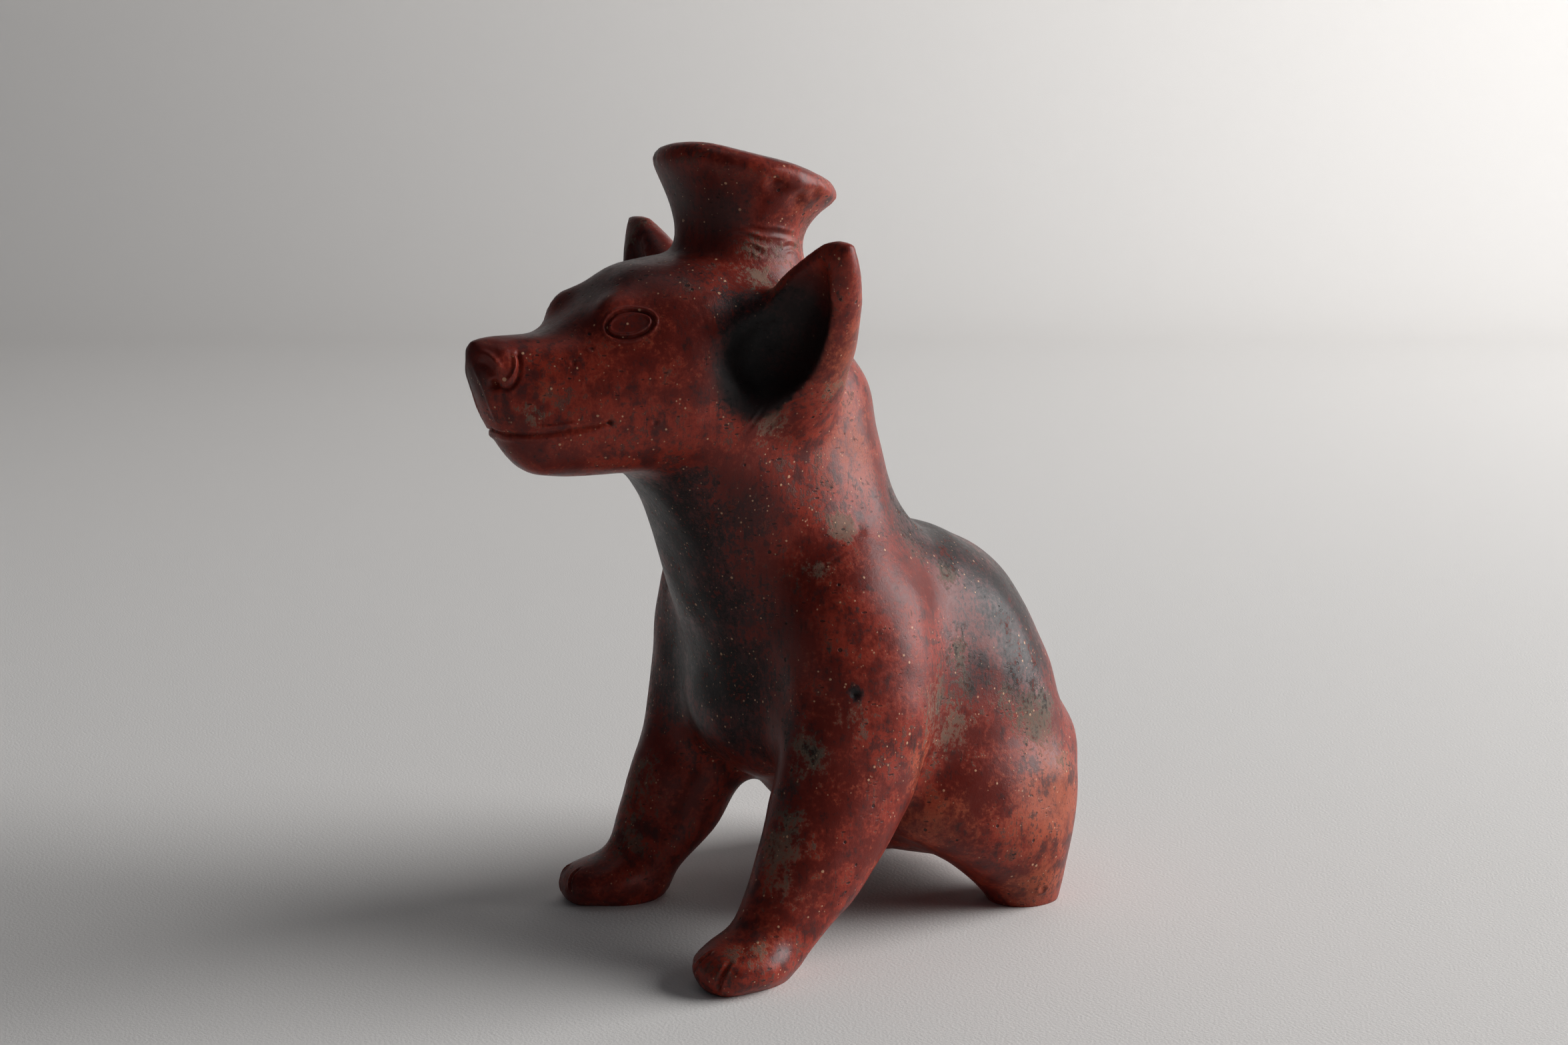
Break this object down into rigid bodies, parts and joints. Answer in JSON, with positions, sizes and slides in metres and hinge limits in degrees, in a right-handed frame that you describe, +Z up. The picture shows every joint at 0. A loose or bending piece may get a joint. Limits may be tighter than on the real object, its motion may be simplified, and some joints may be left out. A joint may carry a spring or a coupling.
{
  "type": "seated dog effigy vessel",
  "caption": "Hollow fired-clay vessel in the form of a seated dog, with a flared open spout on the head, cupped ears and incised eyes and mouth.",
  "frame": {"origin": "under the middle of the bounding box, on the plane the four feet rest on", "axes": "+Z up, -Y the way the dog faces, +X its left side"},
  "size_m": [0.1452, 0.2556, 0.2855],
  "materials": {
    "burnished_red_slip": "burnished red slip with dark fire-clouds"
  },
  "bodies": {
    "root": {"dog_vessel": "burnished_red_slip"}
  },
  "joints": []
}
